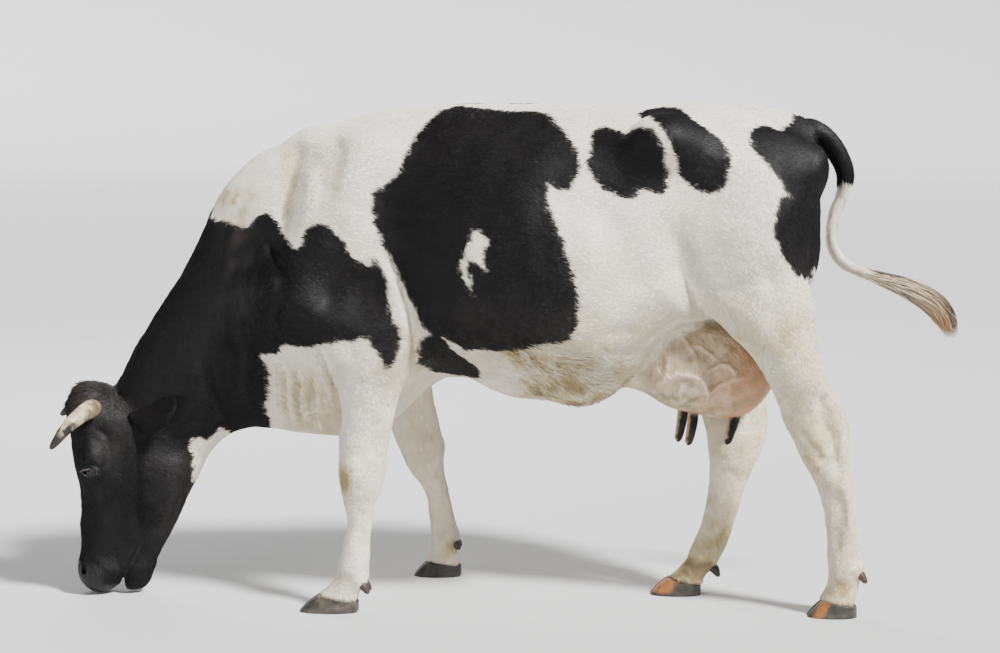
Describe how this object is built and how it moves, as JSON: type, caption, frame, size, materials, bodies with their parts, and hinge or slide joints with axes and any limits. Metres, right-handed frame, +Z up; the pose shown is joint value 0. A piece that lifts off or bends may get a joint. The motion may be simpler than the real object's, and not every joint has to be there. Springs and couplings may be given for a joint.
{
  "type": "dairy cow",
  "caption": "Black and white horned dairy cow standing with its head down to graze, a life-size still model of the whole animal.",
  "frame": {"origin": "on the floor under the middle of the whole animal's length and width", "axes": "the cow faces -X, her left side is -Y and +Z is up"},
  "size_m": [2.6215, 0.7482, 1.4256],
  "materials": {
    "coat_white": "short warm white hair lying flat along the body",
    "coat_black": "short glossy black hair lying flat along the body",
    "tail_hair": "cream hair, long and brushy in the switch",
    "udder_skin": "bare pink skin with raised veins",
    "teat_skin": "bare dark skin, pink in places",
    "horn": "smooth cream horn, dark at the tip",
    "hoof": "dull grey-brown horn with growth rings",
    "eye": "wet dark eye"
  },
  "bodies": {
    "root": {"trunk": "coat_white", "foreleg_left": "coat_white", "foreleg_right": "coat_white", "hindleg_left": "coat_white", "hindleg_right": "coat_white", "head": "coat_black", "neck": "coat_black", "ear_left": "coat_black", "ear_right": "coat_black", "tail_base": "coat_black", "tail_middle": "tail_hair", "tail_switch": "tail_hair", "udder": "udder_skin", "teat_front_left": "teat_skin", "teat_front_right": "teat_skin", "teat_rear_left": "teat_skin", "teat_rear_right": "teat_skin", "horn_left": "horn", "horn_right": "horn", "eye_left": "eye", "eye_right": "eye", "claw_fore_left_outer": "hoof", "dewclaw_fore_left_outer": "hoof", "claw_fore_left_inner": "hoof", "dewclaw_fore_left_inner": "hoof", "claw_fore_right_outer": "hoof", "dewclaw_fore_right_outer": "hoof", "claw_fore_right_inner": "hoof", "dewclaw_fore_right_inner": "hoof", "claw_hind_left_outer": "hoof", "dewclaw_hind_left_outer": "hoof", "claw_hind_left_inner": "hoof", "dewclaw_hind_left_inner": "hoof", "claw_hind_right_outer": "hoof", "dewclaw_hind_right_outer": "hoof", "claw_hind_right_inner": "hoof", "dewclaw_hind_right_inner": "hoof"}
  },
  "joints": []
}
